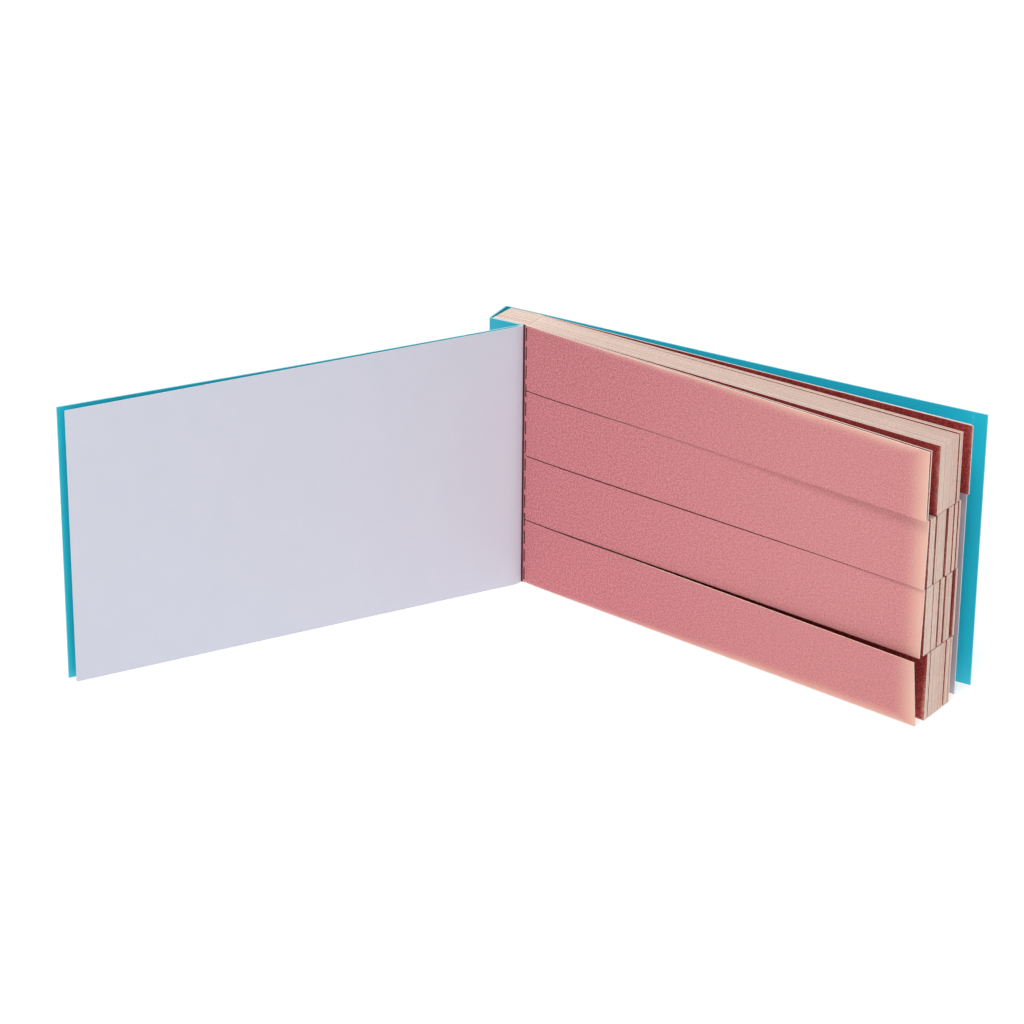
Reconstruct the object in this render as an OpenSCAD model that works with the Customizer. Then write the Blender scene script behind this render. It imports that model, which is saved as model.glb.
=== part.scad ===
// Booklet of tear-off test paper strips: four rows of strips on every leaf, perforated at the
// gutter, bound in a folded card cover with a flyleaf at each end.  It stands on its long edge
// with the front cover open.
// Millimetres.  +Z up, +X along the leaves away from the spine, -Y towards the open front.
// The origin is the foot of the crease line, at mid thickness of the leaf block.

/* [Leaves] */
// Width of one strip, which is also the height of one row
strip_w = 10; // [8:0.5:12]
// Length of one strip, from its perforation to its free end
strip_l = 69.5; // [55:0.5:85]
// Thickness of one leaf of test paper
leaf_t = 0.17; // [0.13:0.01:0.21]
// Air left between two leaves in the bound margin
leaf_air = 0.02; // [0.01:0.005:0.03]
// Width of the cut between two rows
cut_gap = 0.06; // [0.04:0.01:0.1]
// Bound margin of a leaf, from its spine edge to the crease
margin_w = 5; // [4:0.25:7]

/* [Perforation] */
// Distance of the perforation line from the crease
perf_x = 0.5; // [0.4:0.05:0.8]
// Number of slits along the perforation line
slit_count = 14; // [10:1:18]
// Share of each perforation step that is slit
slit_share = 0.7; // [0.6:0.05:0.8]
// Width of the slit, across the line
slit_w = 0.3; // [0.25:0.01:0.4]
// Length of the paper ties left on a strip's root edge
tie_l = 0.15; // [0.1:0.01:0.18]

/* [Cover card] */
// Thickness of the cover card
card_t = 0.25; // [0.2:0.01:0.35]
// Width of each cover, from its crease to its free edge
cover_w = 70; // [56:0.5:86]
// Air between the spine card and the block at the front corner
spine_air_front = 0.1; // [0.05:0.05:0.5]
// Air between the spine card and the block at the back corner
spine_air_back = 0.75; // [0.3:0.05:1]

/* [Flyleaves and glue] */
// Thickness of the flyleaf paper
flyleaf_t = 0.12; // [0.09:0.01:0.15]
// Width of each flyleaf, from the crease to its free edge
flyleaf_w = 69.5; // [55:0.5:85]
// Thickness of the glue line under each hinge strip
glue_t = 0.04; // [0.03:0.01:0.06]
// Thickness of the padding glue on the spine edge of the block
spine_glue_t = 0.15; // [0.1:0.01:0.25]

/* [Folds] */
// Gap across each crease, between the bound strip and the part that turns
crease_gap = 0.06; // [0.05:0.01:0.1]

/* [Rest pose] */
// Angle of the open front cover from closed
front_cover_deg = 120; // [105:0.5:135]
// How far the front flyleaf stands off the open cover
front_flyleaf_lift_deg = 1.2; // [0.6:0.1:2]
// How far the back flyleaf leans forward off the back cover
back_flyleaf_deg = 3; // [2:0.1:3]

/* [Hidden] */
// One entry per row, top row first: the sheaves of leaves that cling together, front to back,
// each as [number of leaves, degrees that its front leaf leans forward].
ROWS = [
    [[1, 9.1], [1, 8.85], [19, 7.3], [3, 5.85], [1, 3.4]],
    [[1, 8.3], [5, 8.05], [9, 7.4], [5, 6.25], [3, 5.65], [2, 5.2]],
    [[1, 8.3], [7, 8.05], [5, 7.5], [4, 6.8], [6, 6.15], [2, 5]],
    [[1, 9.2], [3, 7.5], [15, 6.9], [4, 5.5], [2, 5.2]]
];
function leaves_before(sheaves, n) = n == 0 ? 0 : leaves_before(sheaves, n - 1) + sheaves[n - 1][0];
// The leaves of a sheaf fan open by this share of the room before the next sheaf, up to a limit
fan_share = 0.8;
fan_max = 0.07;

leaf_step = leaf_t + leaf_air;
leaf_count = leaves_before(ROWS[0], len(ROWS[0]));
half_block = leaf_count * leaf_step / 2;
row_count = len(ROWS);
booklet_h = row_count * strip_w;
flyleaf_in = half_block + leaf_air;
flyleaf_out = flyleaf_in + flyleaf_t;
card_in = flyleaf_out + glue_t;
card_out = card_in + card_t;
spine_edge = -margin_w - spine_glue_t;
slit_step = booklet_h / slit_count;
slit_h = slit_step * slit_share;

TEAL = [0.03, 0.66, 0.75];
WHITE = [0.8, 0.79, 0.84];
PINK = [0.78, 0.48, 0.5];
PAPER_EDGE = [0.87, 0.75, 0.69];
GLUE = [0.93, 0.92, 0.88];

function sheaf_name(row, sheaf) =
    sheaf == 0 ? str("row_", row + 1, "_front_strip") : str("row_", row + 1, "_sheaf_", sheaf);

// An upright sheet over the whole height, from x0 to x1 and from y0 to y1
module sheet(x0, x1, y0, y1) {
    translate([x0, y0, 0])
        cube([x1 - x0, y1 - y0, booklet_h]);
}

// ---- The bound spine ----

module spine_card() {
    color(TEAL)
        linear_extrude(booklet_h)
            polygon([
                [spine_edge - spine_air_front, -card_in],
                [spine_edge - spine_air_back, card_in],
                [spine_edge - spine_air_back - card_t, card_in],
                [spine_edge - spine_air_front - card_t, -card_in]
            ]);
}

module front_hinge_strip() {
    color(TEAL)
        sheet(spine_edge - spine_air_front - card_t, -crease_gap, -card_out, -card_in);
}

module back_hinge_strip() {
    color(TEAL)
        sheet(spine_edge - spine_air_back - card_t, -crease_gap, card_in, card_out);
}

module front_hinge_glue() {
    color(GLUE)
        sheet(-margin_w, -crease_gap, -card_in, -flyleaf_out);
}

module back_hinge_glue() {
    color(GLUE)
        sheet(-margin_w, -crease_gap, flyleaf_out, card_in);
}

module front_flyleaf_stub() {
    color(WHITE)
        sheet(-margin_w, -crease_gap, -flyleaf_out, -flyleaf_in);
}

module back_flyleaf_stub() {
    color(WHITE)
        sheet(-margin_w, -crease_gap, flyleaf_in, flyleaf_out);
}

// The bound margins of all the leaves, up to the perforation
module leaf_margins() {
    color(PAPER_EDGE)
        for (leaf = [0 : leaf_count - 1]) {
            y = -half_block + leaf * leaf_step;
            sheet(-margin_w, perf_x - slit_w / 2, y, y + leaf_t);
        }
}

module spine_glue() {
    color(GLUE)
        sheet(spine_edge, -margin_w, -flyleaf_out, flyleaf_out);
}

// ---- Covers and flyleaves ----

// Turns about the crease on the card's outer face, as a scored card folds outwards
module open_front() {
    translate([0, -card_out, 0])
        rotate([0, 0, -front_cover_deg])
            translate([0, card_out, 0])
                children();
}

module front_cover() {
    color(TEAL)
        open_front()
            sheet(0, cover_w, -card_out, -card_in);
}

module back_cover() {
    color(TEAL)
        sheet(0, cover_w, card_in, card_out);
}

// Lies along the open cover, and stands a little off it
module front_flyleaf() {
    color(WHITE)
        open_front()
            translate([0, -flyleaf_out, 0])
                rotate([0, 0, front_flyleaf_lift_deg])
                    sheet(0, flyleaf_w, 0, flyleaf_t);
}

module back_flyleaf() {
    color(WHITE)
        translate([0, flyleaf_out, 0])
            rotate([0, 0, -back_flyleaf_deg])
                sheet(0, flyleaf_w, -flyleaf_t, 0);
}

// ---- Strips ----

// One strip of one leaf, lying along +X from the perforation line, with its root edge cut into
// ties by the slits that fall inside its row
module strip(row) {
    z0 = (row_count - 1 - row) * strip_w;
    difference() {
        translate([slit_w / 2 - tie_l, 0, z0 + cut_gap / 2])
            cube([strip_l + tie_l - slit_w / 2, leaf_t, strip_w - cut_gap]);
        for (slit = [0 : slit_count - 1]) {
            z = (slit + 0.5) * slit_step - slit_h / 2;
            if (z < z0 + strip_w && z + slit_h > z0)
                translate([slit_w / 2 - tie_l - 1, -1, z])
                    cube([tie_l + 1, leaf_t + 2, slit_h]);
        }
    }
}

// A sheaf of strips that cling together; each bends forward at its own perforation
module strip_sheaf(row, sheaf) {
    sheaves = ROWS[row];
    count = sheaves[sheaf][0];
    lean = sheaves[sheaf][1];
    next_lean = sheaf + 1 < len(sheaves) ? sheaves[sheaf + 1][1] : back_flyleaf_deg;
    fan = min(fan_max, fan_share * (lean - next_lean) / count);
    first = leaves_before(sheaves, sheaf);
    color(PINK)
        for (leaf = [0 : count - 1])
            translate([perf_x, -half_block + (first + leaf) * leaf_step, 0])
                rotate([0, 0, fan * leaf - lean])
                    strip(row);
}

spine_card();
front_hinge_strip();
back_hinge_strip();
front_hinge_glue();
back_hinge_glue();
front_flyleaf_stub();
back_flyleaf_stub();
leaf_margins();
spine_glue();
front_cover();
front_flyleaf();
back_flyleaf();
back_cover();
for (row = [0 : row_count - 1])
    for (sheaf = [0 : len(ROWS[row]) - 1])
        strip_sheaf(row, sheaf);
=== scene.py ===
"""Booklet of tear-off test paper strips, standing open on its long edge.

Sizes are in millimetres on the sheets as cut, and become metres where a mesh is made.
"""
import math

import bpy
import numpy as np
from mathutils import Matrix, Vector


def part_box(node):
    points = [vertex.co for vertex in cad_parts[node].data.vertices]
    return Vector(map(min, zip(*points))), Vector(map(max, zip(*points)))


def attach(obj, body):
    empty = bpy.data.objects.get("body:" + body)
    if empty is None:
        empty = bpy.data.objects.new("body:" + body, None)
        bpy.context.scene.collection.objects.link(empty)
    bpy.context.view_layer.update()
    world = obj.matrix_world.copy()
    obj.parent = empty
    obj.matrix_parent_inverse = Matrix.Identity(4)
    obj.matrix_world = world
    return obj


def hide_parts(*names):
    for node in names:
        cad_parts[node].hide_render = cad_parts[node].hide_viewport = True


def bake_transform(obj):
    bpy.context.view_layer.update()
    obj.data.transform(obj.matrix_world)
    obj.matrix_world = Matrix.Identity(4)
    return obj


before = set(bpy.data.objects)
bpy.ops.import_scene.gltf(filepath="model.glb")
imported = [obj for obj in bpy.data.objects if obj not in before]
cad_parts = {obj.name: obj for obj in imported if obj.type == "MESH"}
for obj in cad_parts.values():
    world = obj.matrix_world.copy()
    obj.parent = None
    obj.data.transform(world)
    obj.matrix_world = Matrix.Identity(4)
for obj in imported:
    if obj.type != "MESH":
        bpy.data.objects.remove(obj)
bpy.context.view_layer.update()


# ---- Cover card: front cover, spine and back hinge strip ----
# One piece of teal coated card folded round the leaves.  It is scored and folded at two
# spine corners, and creased outwards where the front cover opens, so the card runs on
# unbroken from the cover's free edge to the glued strip behind the block.

MM = 0.001
booklet_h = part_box("spine_card")[1].z / MM
card_lo, card_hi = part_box("back_cover")
card_t = (card_hi.y - card_lo.y) / MM
card_mid = (card_hi.y + card_lo.y) / 2 / MM
cover_w = card_hi.x / MM
crease_y = card_hi.y / MM
spine_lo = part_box("spine_card")[0].x / MM
spine_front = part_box("front_hinge_strip")[0].x / MM
opened = math.radians(120)


class Socket:
    """A shader socket.  Arithmetic on it adds Math nodes and gives the socket of the result."""

    def __init__(self, tree, socket):
        self.tree, self.socket = tree, socket

    def math(self, operation, first, second):
        node = self.tree.nodes.new("ShaderNodeMath")
        node.operation = operation
        for slot, value in zip(node.inputs, (first, second)):
            if isinstance(value, Socket):
                self.tree.links.new(value.socket, slot)
            else:
                slot.default_value = value
        return Socket(self.tree, node.outputs[0])

    def __add__(self, other):
        return self.math("ADD", self, other)

    def __sub__(self, other):
        return self.math("SUBTRACT", self, other)

    def __rsub__(self, other):
        return self.math("SUBTRACT", other, self)

    def __mul__(self, other):
        return self.math("MULTIPLY", self, other)

    def least(self, other):
        return self.math("MINIMUM", self, other)

    def most(self, other):
        return self.math("MAXIMUM", self, other)

    __radd__ = __add__
    __rmul__ = __mul__


class Finish:
    """A material under construction, with one method that adds any kind of node."""

    def __init__(self, name, roughness, **sockets):
        self.material = bpy.data.materials.new(name)
        self.material.use_nodes = True
        self.tree = self.material.node_tree
        self.shader = self.tree.nodes["Principled BSDF"]
        self.shader.inputs["Roughness"].default_value = roughness
        for socket, value in sockets.items():
            self.shader.inputs[socket.replace("_", " ")].default_value = value

    def node(self, kind, settings=None, values=None, out=0):
        """Adds one node: its settings first, then the value or link of each input socket."""
        node = self.tree.nodes.new("ShaderNode" + kind)
        for key, value in (settings or {}).items():
            setattr(node, key, value)
        for key, value in (values or {}).items():
            if isinstance(value, Socket):
                self.tree.links.new(value.socket, node.inputs[key])
            else:
                node.inputs[key].default_value = value
        return Socket(self.tree, node.outputs[out])

    def on_sheet(self):
        """Place on the flat sheet: along it, the sheet's own number, and up it."""
        return self.node("Attribute", {"attribute_name": "on_sheet"}, out="Vector")

    def parts_of(self, place):
        """The three parts of a place on the flat sheet, each as a socket."""
        parts = self.node("SeparateXYZ", None, {"Vector": place}).socket.node.outputs
        return [Socket(self.tree, part) for part in parts]

    def grain(self, place, scale, detail, stretch=(1, 1, 1)):
        """Noise between 0 and 1 whose features are about 1 / scale metres across."""
        placed = self.node("Mapping", {"vector_type": "POINT"},
                           {"Vector": place, "Scale": stretch})
        return self.node("TexNoise", {"normalize": True},
                         {"Vector": placed, "Scale": scale, "Detail": detail, "Roughness": 0.6})

    def ramp(self, value, low, high):
        """0 below low, 1 above high and smooth between them."""
        return self.node("MapRange", {"interpolation_type": "SMOOTHSTEP", "clamp": True},
                         {"Value": value, "From Min": low, "From Max": high})

    def blend(self, factor, first, second):
        """Colour that goes from first to second as factor goes from 0 to 1."""
        values = {0: factor}
        for key, colour in ((6, first), (7, second)):
            values[key] = colour if isinstance(colour, Socket) else (*colour, 1.0)
        return self.node("Mix", {"data_type": "RGBA", "clamp_factor": True}, values, out=2)

    def feed(self, socket, value):
        """Drives one socket of the surface shader."""
        self.tree.links.new(value.socket, self.shader.inputs[socket])

    def relief(self, height, depth, strength):
        """Surface relief of that depth in metres, from a height between 0 and 1."""
        self.feed("Normal", self.node("Bump", None, {"Height": height, "Distance": depth,
                                                     "Strength": strength}))


def teal_card_finish():
    """Coated side of the card: even teal, faintly clouded, with fine rubs near its edges."""
    finish = Finish("teal_card", 0.42, Coat_Weight=0.12, Coat_Roughness=0.3)
    place = finish.on_sheet()
    along, _, height = finish.parts_of(place)
    cloud = finish.grain(place, 60.0, 3.0)
    fibre = finish.grain(place, 3200.0, 3.0)
    rub = finish.ramp(finish.grain(place, 420.0, 4.0, (1, 1, 0.35)), 0.66, 0.8)
    to_edge = height.least(booklet_h * MM - height).least(cover_w * MM - along)
    near_edge = 1.0 - finish.ramp(to_edge, 0.3 * MM, 4.0 * MM)
    shade = finish.blend(cloud * 0.7 + fibre * 0.3, (0.005, 0.54, 0.70), (0.015, 0.61, 0.77))
    finish.feed("Base Color", finish.blend(rub * near_edge * 0.35, shade, (0.28, 0.80, 0.88)))
    finish.feed("Roughness", fibre * 0.12 + 0.36)
    finish.relief(fibre, 0.006 * MM, 0.5)
    return finish.material


def sheet_edge_finish(name, roughness, scale, detail, stretch, darkest, palest):
    """Cut edge of the card or the flyleaf: fine fibres, in tones from darkest to palest."""
    finish = Finish(name, roughness)
    fibre = finish.grain(finish.on_sheet(), scale, detail, stretch)
    finish.feed("Base Color", finish.blend(fibre, darkest, palest))
    return finish.material


def even_steps(start, stop, spacing):
    """Even steps in plan along a straight line, about one spacing long.

    The start itself is left out, and the stop is the last point."""
    gap = np.linalg.norm(stop - start)
    steps = np.linspace(0, 1, max(2, int(gap / spacing) + 1))[1:, None]
    return start + (stop - start) * steps


def bent_path(corners, radii, spacing):
    """Straight runs between corners, joined by arcs of the given radii, as points in plan.

    An arc is centred on the bisector of its corner, and its points step evenly in angle."""
    corners = [np.array(c, float) for c in corners]
    points = [corners[0]]
    for before, corner, after, radius in zip(corners, corners[1:], corners[2:], radii):
        run_in = (corner - before) / np.linalg.norm(corner - before)
        run_out = (after - corner) / np.linalg.norm(after - corner)
        side = run_in[0] * run_out[1] - run_in[1] * run_out[0]
        turn = math.atan2(side, run_in @ run_out)
        start = corner - run_in * radius * abs(math.tan(turn / 2))
        inward = np.array([-run_in[1], run_in[0]]) * math.copysign(radius, turn)
        angles = np.linspace(0, turn, max(3, int(abs(turn) * 6)))
        out_x = np.outer(np.cos(angles), -inward)
        out_y = np.outer(np.sin(angles), [inward[1], -inward[0]])
        arc = start + inward + out_x + out_y
        points.extend(even_steps(points[-1], arc[0], spacing)[:-1])
        points.extend(arc)
    points.extend(even_steps(points[-1], corners[-1], spacing))
    return np.array(points)


def plan_sides(path, thickness):
    """The two sides of a sheet whose middle follows a path in plan.

    Each side stands off the path by half the thickness, square to the path's direction."""
    along = np.gradient(path, axis=0)
    along /= np.linalg.norm(along, axis=1)[:, None]
    square = np.stack([along[:, 1], -along[:, 0]], 1) * np.reshape(thickness, (-1, 1)) / 2
    return path + square, path - square


def upright(plan, heights):
    """Carries a path in plan up through the heights: a grid of points, along by up."""
    grid = np.empty((len(plan), len(heights), 3))
    grid[..., :2] = plan[:, None]
    grid[..., 2] = heights
    return grid


def flat_place(run, number, heights):
    """Place on the flat sheet of each grid point: distance run, sheet number, height."""
    grid = np.empty((len(run), len(heights), 3))
    grid[..., 0] = run[:, None]
    grid[..., 1] = number
    grid[..., 2] = heights
    return grid


def run_of(path):
    """Distance along a path in plan to each of its points."""
    return np.concatenate([[0.0], np.cumsum(np.linalg.norm(np.diff(path, axis=0), axis=1))])


def sheet_faces(front, keep):
    """Faces of a closed sheet between two like grids of points, round its kept cells.

    A rim face is put on every grid edge that has a kept cell on one side only."""
    rows, cols = front.shape[:2]
    f = np.arange(rows * cols).reshape(rows, cols)
    b = f + rows * cols
    keep = np.ones((rows - 1, cols - 1), bool) if keep is None else keep
    quads = [np.stack([g[:-1, :-1], g[1:, :-1], g[1:, 1:], g[:-1, 1:]], -1)[keep]
             for g in (f, b)]
    faces = [quads[0], quads[1][:, ::-1]]
    pad = np.pad(keep, 1)
    low, high = pad[1:-1, :-1], pad[1:-1, 1:]
    near, far = pad[:-1, 1:-1], pad[1:, 1:-1]
    bottom = np.stack([f[:-1], b[:-1], b[1:], f[1:]], -1)
    left = np.stack([f[:, :-1], f[:, 1:], b[:, 1:], b[:, :-1]], -1)
    faces += [bottom[high & ~low], bottom[low & ~high][:, ::-1]]
    faces += [left[far & ~near], left[near & ~far][:, ::-1]]
    rim = np.concatenate([np.full(len(q), int(n > 1)) for n, q in enumerate(faces)])
    return np.concatenate(faces), rim


RIM_SPAN = 0.9


def sheet_piece(name, sheets, finishes, slot):
    """One object made of closed sheets, each given as (front, back, flat place, kept cells).

    The sheet's number grows by RIM_SPAN from its front to its back, so a rim knows its depth."""
    points, places, faces, rims, count = [], [], [], [], 0
    for front, back, place, keep in sheets:
        quads, rim = sheet_faces(front, keep)
        used, quads = np.unique(quads, return_inverse=True)
        both = np.concatenate([front.reshape(-1, 3), back.reshape(-1, 3)])
        points.append(both[used])
        place = place.reshape(-1, 3)
        places.append(np.concatenate([place, place + [0, RIM_SPAN, 0]])[used])
        faces.append(quads.reshape(-1, 4) + count)
        rims.append(rim)
        count += len(used)
    mesh = bpy.data.meshes.new(name)
    mesh.from_pydata(np.concatenate(points) * MM, [], np.concatenate(faces))
    mesh.attributes.new("on_sheet", "FLOAT_VECTOR", "POINT")
    flat = (np.concatenate(places) * MM).astype(np.float32).ravel()
    mesh.attributes["on_sheet"].data.foreach_set("vector", flat)
    for finish in finishes:
        mesh.materials.append(finish)
    mesh.polygons.foreach_set("material_index", np.concatenate(rims).astype(np.int32))
    mesh.polygons.foreach_set("use_smooth", np.ones(len(mesh.polygons), bool))
    mesh.set_sharp_from_angle(angle=math.radians(35))
    mesh.update()
    piece = bpy.data.objects.new(name, mesh)
    bpy.context.scene.collection.objects.link(piece)
    return piece


def opened_out(x, y):
    """A point of the closed booklet's front, turned open about the crease of the front cover."""
    c, s = math.cos(-opened), math.sin(-opened)
    return c * x - s * (y + crease_y), s * x + c * (y + crease_y) - crease_y


teal_card = teal_card_finish()
card_edge = sheet_edge_finish("teal_card_edge", 0.7, 2600.0, 3.0, (0.3, 1, 1),
                              (0.25, 0.62, 0.72), (0.55, 0.82, 0.88))
card_heights = np.linspace(0, booklet_h, 17)


def card_piece(name, path, thickness, run, number):
    """A length of the cover card, standing on its edge along a path in plan."""
    inner, outer = plan_sides(path, thickness)
    sheet = (upright(inner, card_heights), upright(outer, card_heights),
             flat_place(run, number, card_heights), None)
    return sheet_piece(name, [sheet], [teal_card, card_edge], "cover_card")


# Behind the block, this piece of the card meets the next one at seam_x
seam_x = -3.0
fold_tip_x = 0.05
fold_radius, spine_radius = 0.13, 0.2
front_path = bent_path(
    [opened_out(cover_w, -card_mid), (fold_tip_x, -card_mid),
     (spine_front + card_t / 2, -card_mid), (spine_lo + card_t / 2, card_mid),
     (seam_x, card_mid)],
    [fold_radius, spine_radius, spine_radius], 2.5)
front_run = run_of(front_path)
# The free cover bows very slightly towards the reader between its crease and its free edge
front_share = np.clip(1 - front_run / cover_w, 0, 1)
front_bow = 0.25 * np.sin(math.pi * front_share) ** 2
front_path[:, 0] += front_bow * math.sin(opened)
front_path[:, 1] += front_bow * math.cos(opened)
# Each fold is pressed thinner where the card was scored
fold_at = [cover_w, cover_w - spine_front, cover_w + 2 * card_mid - spine_front]
pressed = sum(np.exp(-((front_run - at) / 0.25) ** 2) for at in fold_at)
front_card = card_piece("cover_card_front_and_spine", front_path,
                        card_t * (1 - 0.12 * np.minimum(pressed, 1)), cover_w - front_run, 1.0)
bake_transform(front_card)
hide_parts("front_cover", "front_hinge_strip", "spine_card")


# ---- Cover card: back cover ----
# The same card carried on behind the block, glued by its hinge strip and scored where the
# back cover turns.  The standing cover has bowed a little towards the leaves.

back_run = np.concatenate([np.linspace(seam_x, -0.4, 4), [-0.25, -0.12, 0, 0.12, 0.25, 0.4],
                           np.linspace(1, cover_w, 36)])
back_share = np.clip(back_run / cover_w, 0, 1)
back_bow = 0.3 * np.sin(math.pi * back_share) * (0.6 + 0.5 * back_share)
score = 1 - 0.2 * np.exp(-(back_run / 0.16) ** 2)
back_card = card_piece("cover_card_back", np.stack([back_run, card_mid - back_bow], 1),
                       card_t * score, back_run, 2.0)
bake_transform(back_card)
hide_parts("back_cover", "back_hinge_strip")


# ---- Padding glue and hinge glue ----
# White padding glue, brushed over the spine edges of the leaves, and the thin glue line that
# holds each flyleaf stub to the card.  The brushed face is left uneven.

def glue_finish():
    """Dried white glue: cream and off-white streaks along the brush, half glossy."""
    finish = Finish("padding_glue", 0.38)
    streak = finish.grain(finish.node("TexCoord", out="Object"), 900.0, 3.0, (1, 1, 0.25))
    finish.feed("Base Color", finish.blend(streak, (0.62, 0.58, 0.5), (0.85, 0.83, 0.77)))
    finish.feed("Roughness", streak * 0.25 + 0.3)
    finish.relief(streak, 0.03 * MM, 0.6)
    return finish.material


padding_glue = glue_finish()
brush_depth = 0.05
glue_lo, glue_hi = (np.array(c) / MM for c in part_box("spine_glue"))
across, up = np.meshgrid(np.linspace(glue_lo[1], glue_hi[1], 20),
                         np.linspace(glue_lo[2] + 0.05, glue_hi[2] - 0.08, 60), indexing="ij")
# Two crossed sine ripples, the first one bent by a slow wave up the spine
brushed = 0.03 * np.sin(across * 4.1 + np.sin(up * 0.7)) + 0.02 * np.sin(up * 2.3 + across * 6.7)
glue_front = np.stack([glue_lo[0] + brush_depth + brushed, across, up], -1)
glue_back = np.stack([np.full_like(across, glue_hi[0]), across, up], -1)
glue_coat = sheet_piece("spine_padding_glue", [(glue_back, glue_front, glue_back, None)],
                        [padding_glue, padding_glue], "glue")
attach(glue_coat, "binding")
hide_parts("spine_glue")
for node in ("front_hinge_glue", "back_hinge_glue"):
    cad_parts[node].data.materials.clear()
    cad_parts[node].data.materials.append(padding_glue)


# ---- Front flyleaf ----
# A single sheet of smooth lilac-white paper.  Its left edge is glued between the card and the
# first test leaf, and from there it swings round the crease and lies along the open cover.
# Its bound part and its free part turn apart, so they are two pieces that meet near the fold.

def flyleaf_finish():
    """Smooth uncoated paper: nearly even, with faint clouds of denser and thinner pulp."""
    finish = Finish("flyleaf_paper", 0.72)
    place = finish.on_sheet()
    pulp = finish.grain(place, 260.0, 4.0)
    tooth = finish.grain(place, 5200.0, 2.0)
    shade = finish.blend(pulp, (0.61, 0.635, 0.73), (0.655, 0.67, 0.76))
    finish.feed("Base Color", finish.blend(tooth * 0.3, shade, (0.57, 0.585, 0.68)))
    finish.relief(tooth * 0.5 + pulp * 0.5, 0.01 * MM, 0.5)
    return finish.material


def bezier(points, count):
    """A cubic curve that leaves its first point towards the second and ends from the third."""
    t = np.linspace(0, 1, count)[:, None]
    a, b, c, d = (np.array(p, float) for p in points)
    return a * (1 - t) ** 3 + 3 * b * t * (1 - t) ** 2 + 3 * c * t * t * (1 - t) + d * t ** 3


def along_stub(start, stop, count, y):
    """Points in plan along the flat stub of a flyleaf."""
    return np.stack([np.linspace(start, stop, count), np.full(count, y)], 1)


flyleaf_paper = flyleaf_finish()
flyleaf_edge = sheet_edge_finish("flyleaf_paper_edge", 0.8, 2400.0, 2.0, (1, 1, 1),
                                 (0.78, 0.77, 0.80), (0.9, 0.89, 0.9))
stub_lo, stub_hi = (np.array(c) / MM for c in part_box("front_flyleaf_stub"))
flyleaf_t = stub_hi[1] - stub_lo[1]
flyleaf_mid = (stub_hi[1] + stub_lo[1]) / 2
flyleaf_w = 69.5
stub_w = 5.0
flyleaf_trim = 0.02


def flyleaf_piece(name, path, begin, number, heights, backwards):
    """A length of flyleaf along a path in plan, whose place on the flat sheet starts at begin.

    Laid out backwards, the path's far side is the front of the sheet."""
    near, far = plan_sides(path, flyleaf_t)
    grids = [upright(near, heights), upright(far, heights),
             flat_place(run_of(path) + begin, number, heights)]
    if backwards:
        grids = [grids[1][::-1], grids[0][::-1], grids[2][::-1]]
    return sheet_piece(name, [(*grids, None)], [flyleaf_paper, flyleaf_edge], "flyleaf_paper")


front_heights = np.linspace(flyleaf_trim, booklet_h - flyleaf_trim, 17)
flyleaf_turn = opened - math.radians(1.2)
flyleaf_way = np.array([math.cos(flyleaf_turn), -math.sin(flyleaf_turn)])
flyleaf_out = np.array([-flyleaf_way[1], flyleaf_way[0]])
flyleaf_root = np.array(opened_out(0, stub_lo[1])) + flyleaf_out * flyleaf_t / 2
# Over the fold the sheet turns tightly by first_turn, then swings gently out to the cover
first_turn = math.radians(-95)
bend_radius = 0.2
bend_from_x = -0.06
curve_end = 4.0
turned = np.linspace(0, first_turn, 9)
tight = np.stack([bend_from_x - bend_radius * np.sin(turned),
                  flyleaf_mid - bend_radius * (1 - np.cos(turned))], 1)
heading = np.array([math.cos(first_turn), math.sin(first_turn)])
gentle = bezier([tight[-1], tight[-1] + heading * 1.2, flyleaf_root + flyleaf_way * 2.2,
                 flyleaf_root + flyleaf_way * curve_end], 18)
swing = np.concatenate([tight, gentle[1:]])
join_run = 1.8
join = int(np.searchsorted(run_of(swing), join_run))
bound_path = np.concatenate([along_stub(stub_lo[0], -0.3, 5, flyleaf_mid), swing[:join + 1]])
free_runs = np.linspace(curve_end, flyleaf_w, 40)[1:, None]
free_path = np.concatenate([swing[join:], flyleaf_root + flyleaf_way * free_runs])
front_bound = flyleaf_piece("front_flyleaf_bound_part", bound_path, -join_run - stub_w, 3.0,
                            front_heights, True)
front_free = flyleaf_piece("front_flyleaf_free_part", free_path, 0.0, 3.0, front_heights, True)
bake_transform(front_bound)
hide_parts("front_flyleaf_stub")
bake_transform(front_free)
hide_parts("front_flyleaf")


# ---- Back flyleaf ----
# The matching sheet behind the last leaf, glued by its left edge to the back hinge strip.
# It leans forward off the back cover by three degrees, and is trimmed shorter at its head.

back_stub_lo, back_stub_hi = (np.array(c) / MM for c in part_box("back_flyleaf_stub"))
back_mid = (back_stub_lo[1] + back_stub_hi[1]) / 2
back_lean = math.radians(3.0)
back_way = np.array([math.cos(back_lean), -math.sin(back_lean)])
back_root = np.array([0, back_mid])
back_join, back_bend_end = 1.2, 4.5
back_head_trim = 0.25
back_heights = np.linspace(flyleaf_trim, booklet_h - back_head_trim, 17)
bound_path = np.concatenate([
    along_stub(back_stub_lo[0], -0.4, 5, back_mid), along_stub(-0.2, 0, 3, back_mid),
    back_root + back_way * np.linspace(0.2, back_join, 5)[:, None]])
free_path = back_root + back_way * np.linspace(back_join, flyleaf_w, 36)[:, None]
back_bound = flyleaf_piece("back_flyleaf_bound_part", bound_path, -stub_w, 4.0,
                           back_heights, False)
back_free = flyleaf_piece("back_flyleaf_free_part", free_path, back_join, 4.0,
                          back_heights, False)
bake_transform(back_bound)
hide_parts("back_flyleaf_stub")
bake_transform(back_free)
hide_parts("back_flyleaf")


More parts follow.
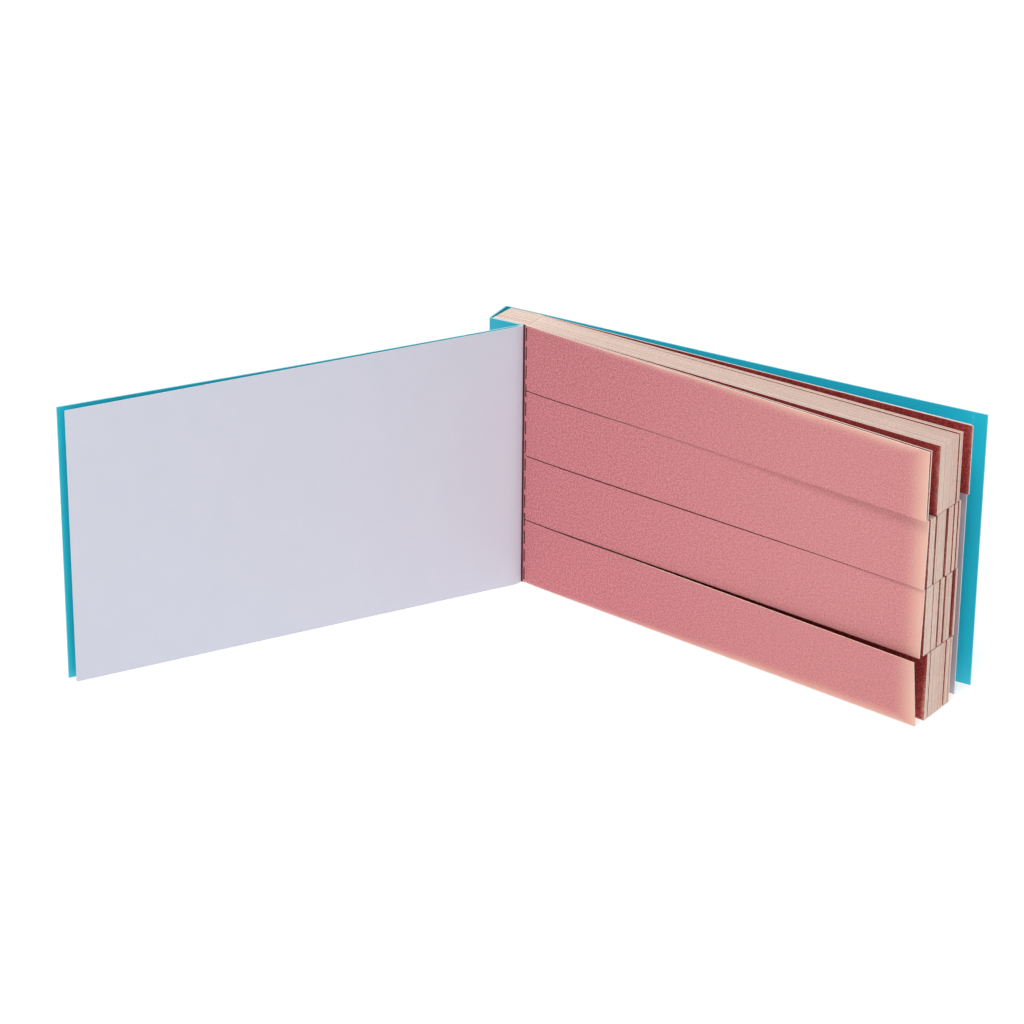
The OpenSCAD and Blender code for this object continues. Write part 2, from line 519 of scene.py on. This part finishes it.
# ---- Bound margins of the test leaves ----
# Twenty-five leaves of absorbent paper, trimmed flush at the top and foot and glued at the
# spine.  The perforation leaves half of each tie on this side, between the slits.

FIRST_LEAF = 10.0
leaf_l = 69.5
leaf_t = 0.17
leaf_step = 0.19
leaf_count = 25
front_leaf_y = -leaf_count * leaf_step / 2


def leaf_places(finish):
    """Distances in metres on a leaf: along it from the perforation, and in from its free end
    and from its nearer trimmed long side.  Also the place itself and the leaf's number."""
    place = finish.on_sheet()
    along, number, height = finish.parts_of(place)
    to_side = height.least(booklet_h * MM - height)
    return place, along, leaf_l * MM - along, to_side, number


def test_paper_finish():
    """Absorbent paper dyed deep rose: mottled at the scale of its fibres, and bleached to
    cream along the outer edges.  Light has bleached the first leaf further in from its edges
    than the leaves that it covers.  The leaves behind it are painted a much darker red, as
    painted shade in the narrow gaps between the sheaves.  The first leaf grows paler and
    warmer towards its free end, partly a warmer tint and partly painted light.  The bound
    margin short of the perforation is painted nearly black, as painted shade in the gutter
    by the flyleaf's fold."""
    finish = Finish("test_paper", 0.92)
    place, along, to_end, to_side, number = leaf_places(finish)
    speck = finish.grain(place, 4600.0, 1.0)
    fibre = finish.grain(place, 2200.0, 3.0)
    cloud = finish.grain(place, 110.0, 3.0)
    ragged = (fibre - 0.5) * (1.0 * MM) + (cloud - 0.5) * (1.2 * MM)
    first_leaf = 1 - finish.ramp(number, (FIRST_LEAF + 0.3) * MM, (FIRST_LEAF + 1.0) * MM)
    toward_free_end = finish.ramp(along, 0.0, 60.0 * MM)
    light_reach = first_leaf * 0.82 + 0.18
    side_reach = light_reach * (toward_free_end * (1.3 * MM) + 0.7 * MM)
    by_end = 1 - finish.ramp(to_end + ragged, -0.6 * MM, light_reach * (4.6 * MM))
    by_side = 1 - finish.ramp(to_side + ragged * 0.6, -0.4 * MM, side_reach)
    pale = by_end.most(by_side)
    pale = pale * (pale * 0.8 + 0.2)
    mottle = finish.ramp(speck * 0.75 + fibre * 0.25, 0.345, 0.655)
    # Painted shade: the leaves behind the first are given a much darker red than it, standing in
    # for the shade of the narrow gaps between the sheaves
    first_leaf_rose = finish.blend(mottle, (0.485, 0.136, 0.154), (0.735, 0.272, 0.300))
    painted_gap_shade_rose = finish.blend(mottle, (0.26, 0.016, 0.017), (0.50, 0.068, 0.062))
    rose = finish.blend(first_leaf, painted_gap_shade_rose, first_leaf_rose)
    # Towards its free end the first leaf grows paler and warmer: partly a warmer tint, partly
    # painted light standing in for the shade near the fold
    warm_tint_and_painted_light = finish.blend(toward_free_end * first_leaf * 0.24, rose, (0.90, 0.44, 0.38))
    bleached = finish.blend(pale, warm_tint_and_painted_light, (0.90, 0.55, 0.43))
    # Painted shade: the bound margin short of the perforation, in the gutter by the flyleaf's
    # fold, is painted nearly black
    crease = 1 - finish.ramp(along, -0.26 * MM, -0.14 * MM)
    finish.feed("Base Color", finish.blend(crease * 0.95, bleached, (0.06, 0.005, 0.012)))
    finish.relief(speck * 0.6 + fibre * 0.4, 0.03 * MM, 0.6)
    return finish.material


def cut_edge_finish():
    """Cut edge of a test leaf: pale cream core between two dyed skins, its tone a little
    different on every leaf.  In the slits of the perforation and in the cuts between the rows
    the cut edges are painted dark red, as painted shade in these narrow cuts."""
    finish = Finish("test_paper_cut_edge", 0.92)
    place, along, to_end, to_side, number = leaf_places(finish)
    leaf_tone = finish.ramp(finish.grain(place, 1100.0, 0.0, (0.004, 1, 0.004)), 0.32, 0.55)
    fibre = finish.grain(place, 3600.0, 3.0, (0.4, 1, 1))
    pale = finish.blend(leaf_tone, (0.83, 0.59, 0.46), (1.0, 0.93, 0.82))
    core = finish.blend(fibre * 0.3, pale, (0.82, 0.56, 0.46))
    depth = finish.node("Math", {"operation": "FRACT"}, {0: number * (1 / MM) + 0.0005})
    skin = 1 - finish.ramp(depth.least(RIM_SPAN - depth), 0.04, 0.26)
    covered = finish.ramp(number, (FIRST_LEAF + 0.94) * MM, (FIRST_LEAF + 0.98) * MM)
    edge = finish.blend(skin * (covered * 0.45 + 0.1), core, (0.46, 0.13, 0.10))
    # Painted shade: cut edges in the perforation's slits and in the cuts between rows are
    # painted dark red, except where the outer row's strips lift apart
    off_line = finish.node("Math", {"operation": "ABSOLUTE"}, {0: along})
    within = finish.ramp(to_side, 0.1 * MM, 0.3 * MM)
    slit = (1 - finish.ramp(off_line, 0.28 * MM, 0.45 * MM)) * within
    outer_row = 1 - finish.ramp(to_side, 10.2 * MM, 10.8 * MM)
    lifted = finish.ramp(along, 8.0 * MM, 30.0 * MM) * outer_row
    between_rows = finish.ramp(to_end, 0.1 * MM, 0.4 * MM) * within * (1 - lifted)
    painted_cut_shade = slit.most(between_rows)
    finish.feed("Base Color", finish.blend(painted_cut_shade, edge, (0.13, 0.015, 0.022)))
    return finish.material


test_paper = test_paper_finish()
cut_edge = cut_edge_finish()
perf_x = 0.6
half_slit = 0.09
slit_count = 14
slit_pitch = booklet_h / slit_count
half_slit_l = 0.7 * slit_pitch / 2
slit_mids = (np.arange(slit_count) + 0.5) * slit_pitch
slit_ends = np.sort(np.concatenate([slit_mids - half_slit_l, slit_mids + half_slit_l]))


def in_slit(heights):
    """Whether the middle of each step between heights falls in a slit of the perforation."""
    middle = (heights[1:] + heights[:-1]) / 2
    return (np.abs(middle[:, None] - slit_mids) < half_slit_l).any(1)


rng = np.random.default_rng(7)
deepest_trim = 0.02
margin_lo = np.array(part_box("leaf_margins")[0]) / MM
margin_x = np.array([margin_lo[0], -3.4, -1.8, -0.6, -0.2, perf_x - half_slit, perf_x])
margin_heights = np.concatenate([[0.0], slit_ends, [booklet_h]])
margin_keep = np.ones((len(margin_x) - 1, len(margin_heights) - 1), bool)
margin_keep[-1] = ~in_slit(margin_heights)
margin_sheets = []
for leaf in range(leaf_count):
    y = front_leaf_y + leaf * leaf_step
    trim = rng.uniform(-deepest_trim, 0.0)
    heights = np.clip(margin_heights, -trim, booklet_h + trim)
    front = upright(np.stack([margin_x, np.full(len(margin_x), y)], 1), heights)
    back = front + [0, leaf_t, 0]
    place = flat_place(margin_x - perf_x, FIRST_LEAF + leaf, heights)
    margin_sheets.append((front, back, place, margin_keep))
margins = sheet_piece("bound_leaf_margins", margin_sheets, [test_paper, cut_edge], "test_paper")
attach(margins, "binding")
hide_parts("leaf_margins")


# ---- Test strips ----
# Each leaf is cut into four strips, one above the other, held only by the perforation's ties.
# The strips of a row cling together in sheaves, which part where one has lifted or hung back.
# A sheaf bends at its root, and the first strip of each row tears away on its own.

# Sheaves of each row, top row first, front to back: number of leaves, degrees of lean
rows = [
    [(1, 9.05), (1, 8.8), (19, 7.1), (3, 5.6), (1, 3.4)],
    [(1, 8.4), (5, 8.1), (9, 7.4), (5, 6.25), (3, 5.65), (2, 5.2)],
    [(1, 8.4), (7, 8.1), (5, 7.5), (4, 6.8), (6, 6.15), (2, 5.0)],
    [(1, 9.75), (3, 7.15), (15, 6.8), (4, 5.5), (2, 5.2)],
]
# Sheaves behind the first strip of each row that are made as two pieces, split at their roots
front_sheaves = [1, 2, 2, 1]
# How much more the foot of each row's first strip leans than its head, in degrees
foot_twist = [-0.05, 0.2, 0.3, -0.95]
# Power of the distance by which the sheaves of each row part: at 0, they part at once
opening_power = [0.6, 0.6, 0.6, 0.1]
resting_lean = 3.0
widest_fan = 0.07
strip_w = 10.0
cut_gap = 0.13
slit_clear = 0.2
tie_break = 0.004
swell_depth = 0.5
swell_run = 7.0
swelling_leaves = 23
foot_hold = 0.6
flat_below = 4.0
first_clear = 0.06
clear_run = 1.5
root_end = 5.0
leaf_curve = np.concatenate([[0.0, half_slit, 0.5, 1.0, 1.8, 2.7, 3.6, root_end - perf_x],
                             [5.4, 6.6, 8, 9.6, 11.4], np.linspace(13.5, leaf_l, 21)])
root_station = int(np.searchsorted(leaf_curve, root_end - perf_x))
last_station = len(leaf_curve) - 1


def strip_sheet(row, leaf, lean, twist, block_lean):
    """One strip: past the perforation it swells forward within a few millimetres, by a depth
    times 1 - exp(-distance / swell_run), and then runs straight to the lean of its chord.
    A leaf that leans out of its row's main block leaves it as a power of the distance, and
    the first one also stands first_clear off the next, so that it can turn over its root.

    The front leaf swells most, and the swell falls evenly to none at leaf swelling_leaves.
    All swell least at the foot, where they stand on the floor.  A strip that hangs back to
    under flat_below degrees runs straight.  The foot of a strip may lean more than its head."""
    foot = (len(rows) - 1 - row) * strip_w
    head = foot + strip_w
    inside = slit_ends[(slit_ends > foot + slit_clear) & (slit_ends < head - slit_clear)]
    heights = np.concatenate([[foot + cut_gap / 2], inside, [head - cut_gap / 2]])
    keep = np.ones((len(leaf_curve) - 1, len(heights) - 1), bool)
    keep[0] = ~in_slit(heights)
    run = leaf_curve[:, None]
    down = 1 - (heights - foot) / strip_w
    held = foot_hold * (1 - heights / booklet_h) ** 3
    swell = swell_depth * (1 - leaf / swelling_leaves) * (1 - held) * (lean > flat_below)
    chord = np.sin(np.radians(lean + twist * down))
    block, power = 0.0, 0.0
    if lean > block_lean:
        block = min(math.sin(math.radians(block_lean)), chord.min())
        power = opening_power[row]
    opening = (chord - block) * (run / leaf_l) ** power
    straight = block - swell / leaf_l
    fall = (straight + opening) * run + swell * (1 - np.exp(-run / swell_run))
    if leaf == 0:
        fall += first_clear * (1 - np.exp(-run / clear_run))
    slope = straight + (1 + power) * opening + swell / swell_run * np.exp(-run / swell_run)
    level = np.sqrt(1 - slope ** 2)
    steps = np.diff(leaf_curve)[:, None] * (level[1:] + level[:-1]) / 2
    front = np.empty((len(leaf_curve), len(heights), 3))
    front[..., 0] = perf_x + tie_break + np.concatenate([0 * steps[:1], np.cumsum(steps, 0)])
    front[..., 1] = front_leaf_y + leaf * leaf_step - fall
    front[..., 2] = heights
    back = front.copy()
    back[..., 0] += leaf_t * slope
    back[..., 1] += leaf_t * level
    return front, back, flat_place(leaf_curve, FIRST_LEAF + leaf, heights), keep


def part_of(sheet, first, last):
    """The part of a sheet between two of its stations."""
    front, back, place, keep = sheet
    ends = slice(first, last + 1)
    return front[ends], back[ends], place[ends], keep[first:last]


paper = ([test_paper, cut_edge], "test_paper")
for row, sheaves in enumerate(rows):
    label = f"row_{row + 1}"
    block_lean = max(sheaves)[1]
    leaf = 0
    for number, (count, lean) in enumerate(sheaves):
        next_lean = sheaves[number + 1][1] if number + 1 < len(sheaves) else resting_lean
        fan = min(widest_fan, 0.8 * (lean - next_lean) / count)
        twist = foot_twist[row] if number == 0 else 0.0
        sheets = [strip_sheet(row, leaf + n, lean - fan * n, twist, block_lean)
                  for n in range(count)]
        leaf += count
        node = f"{label}_sheaf_{number}"
        if number == 0:
            piece = sheet_piece(f"{label}_front_test_strip", sheets, *paper)
            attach(piece, f"{label}_front_strip")
            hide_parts(f"{label}_front_strip")
        elif number <= front_sheaves[row]:
            roots = [part_of(sheet, 0, root_station) for sheet in sheets]
            piece = sheet_piece(f"{node}_roots", roots, *paper)
            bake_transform(piece)
            free = [part_of(sheet, root_station, last_station) for sheet in sheets]
            piece = sheet_piece(f"{node}_strips", free, *paper)
            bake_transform(piece)
            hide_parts(node)
        else:
            piece = sheet_piece(f"{node}_strips", sheets, *paper)
            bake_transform(piece)
            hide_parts(node)


# ---- Floor, light and camera ----
# The booklet stands on a plain near-white floor, in pale surroundings with four soft boxes.
# The camera looks down on it from the front right, very slightly rolled.

floor_half = 3.0
floor_z = -0.0001
floor_mesh = bpy.data.meshes.new("floor")
floor_mesh.from_pydata([(x * floor_half, y * floor_half, floor_z)
                        for x, y in ((-1, -1), (1, -1), (1, 1), (-1, 1))], [], [(0, 1, 2, 3)])
floor = bpy.data.objects.new("floor", floor_mesh)
bpy.context.scene.collection.objects.link(floor)
floor_finish = Finish("floor_white", 0.9, Base_Color=(0.5, 0.5, 0.5, 1),
                      Emission_Color=(1, 1, 1, 1), Emission_Strength=0.62)
floor_mesh.materials.append(floor_finish.material)

world = bpy.data.worlds.new("studio")
world.use_nodes = True
world.node_tree.nodes["Background"].inputs["Color"].default_value = (1, 1, 1, 1)
world.node_tree.nodes["Background"].inputs["Strength"].default_value = 0.2
bpy.context.scene.world = world


def soft_light(name, place, aim, size, power):
    """A square soft box whose face is square to the line from its place to its aim."""
    lamp = bpy.data.lights.new(name, "AREA")
    lamp.shape = "SQUARE"
    lamp.size = size
    lamp.energy = power
    light = bpy.data.objects.new(name, lamp)
    toward = np.array(aim) - np.array(place)
    back = -toward / np.linalg.norm(toward)
    side = np.cross([0, 1, 0.01], back)
    side /= np.linalg.norm(side)
    turn = np.stack([side, np.cross(back, side), back], 1)
    light.matrix_world = Matrix.Translation(place) @ Matrix(turn.tolist()).to_4x4()
    bpy.context.scene.collection.objects.link(light)


booklet_middle = (0.02, 0, 0.02)
soft_light("back_soft_box", (0.15, 0.75, 0.95), booklet_middle, 0.8, 6.0)
soft_light("overhead_soft_box", (0.12, -0.38, 1.0), (0.03, 0, 0.02), 0.3, 6.2)
soft_light("front_soft_box", (-0.25, -1.0, 0.38), booklet_middle, 0.7, 1.0)
soft_light("right_soft_box", (0.9, -0.36, 0.34), booklet_middle, 0.6, 1.9)

yaw, pitch, roll = (math.radians(a) for a in (32.155, 23.425, 0.506))
ahead = np.array([-math.sin(yaw) * math.cos(pitch), math.cos(yaw) * math.cos(pitch),
                  -math.sin(pitch)])
aside = np.array([math.cos(yaw), math.sin(yaw), 0])
upward = np.cross(aside, ahead)
right = math.cos(roll) * aside + math.sin(roll) * upward
top = math.cos(roll) * upward - math.sin(roll) * aside
camera_data = bpy.data.cameras.new("camera")
camera_data.lens = 125.84
camera_data.sensor_width = 36
camera_data.clip_start = 0.01
camera_data.clip_end = 20
camera = bpy.data.objects.new("camera", camera_data)
camera.matrix_world = (Matrix.Translation((0.251965, -0.405666, 0.217023))
                       @ Matrix(np.stack([right, top, -ahead], 1).tolist()).to_4x4())
bpy.context.scene.collection.objects.link(camera)
bpy.context.scene.camera = camera
bpy.context.scene.view_settings.view_transform = "Standard"
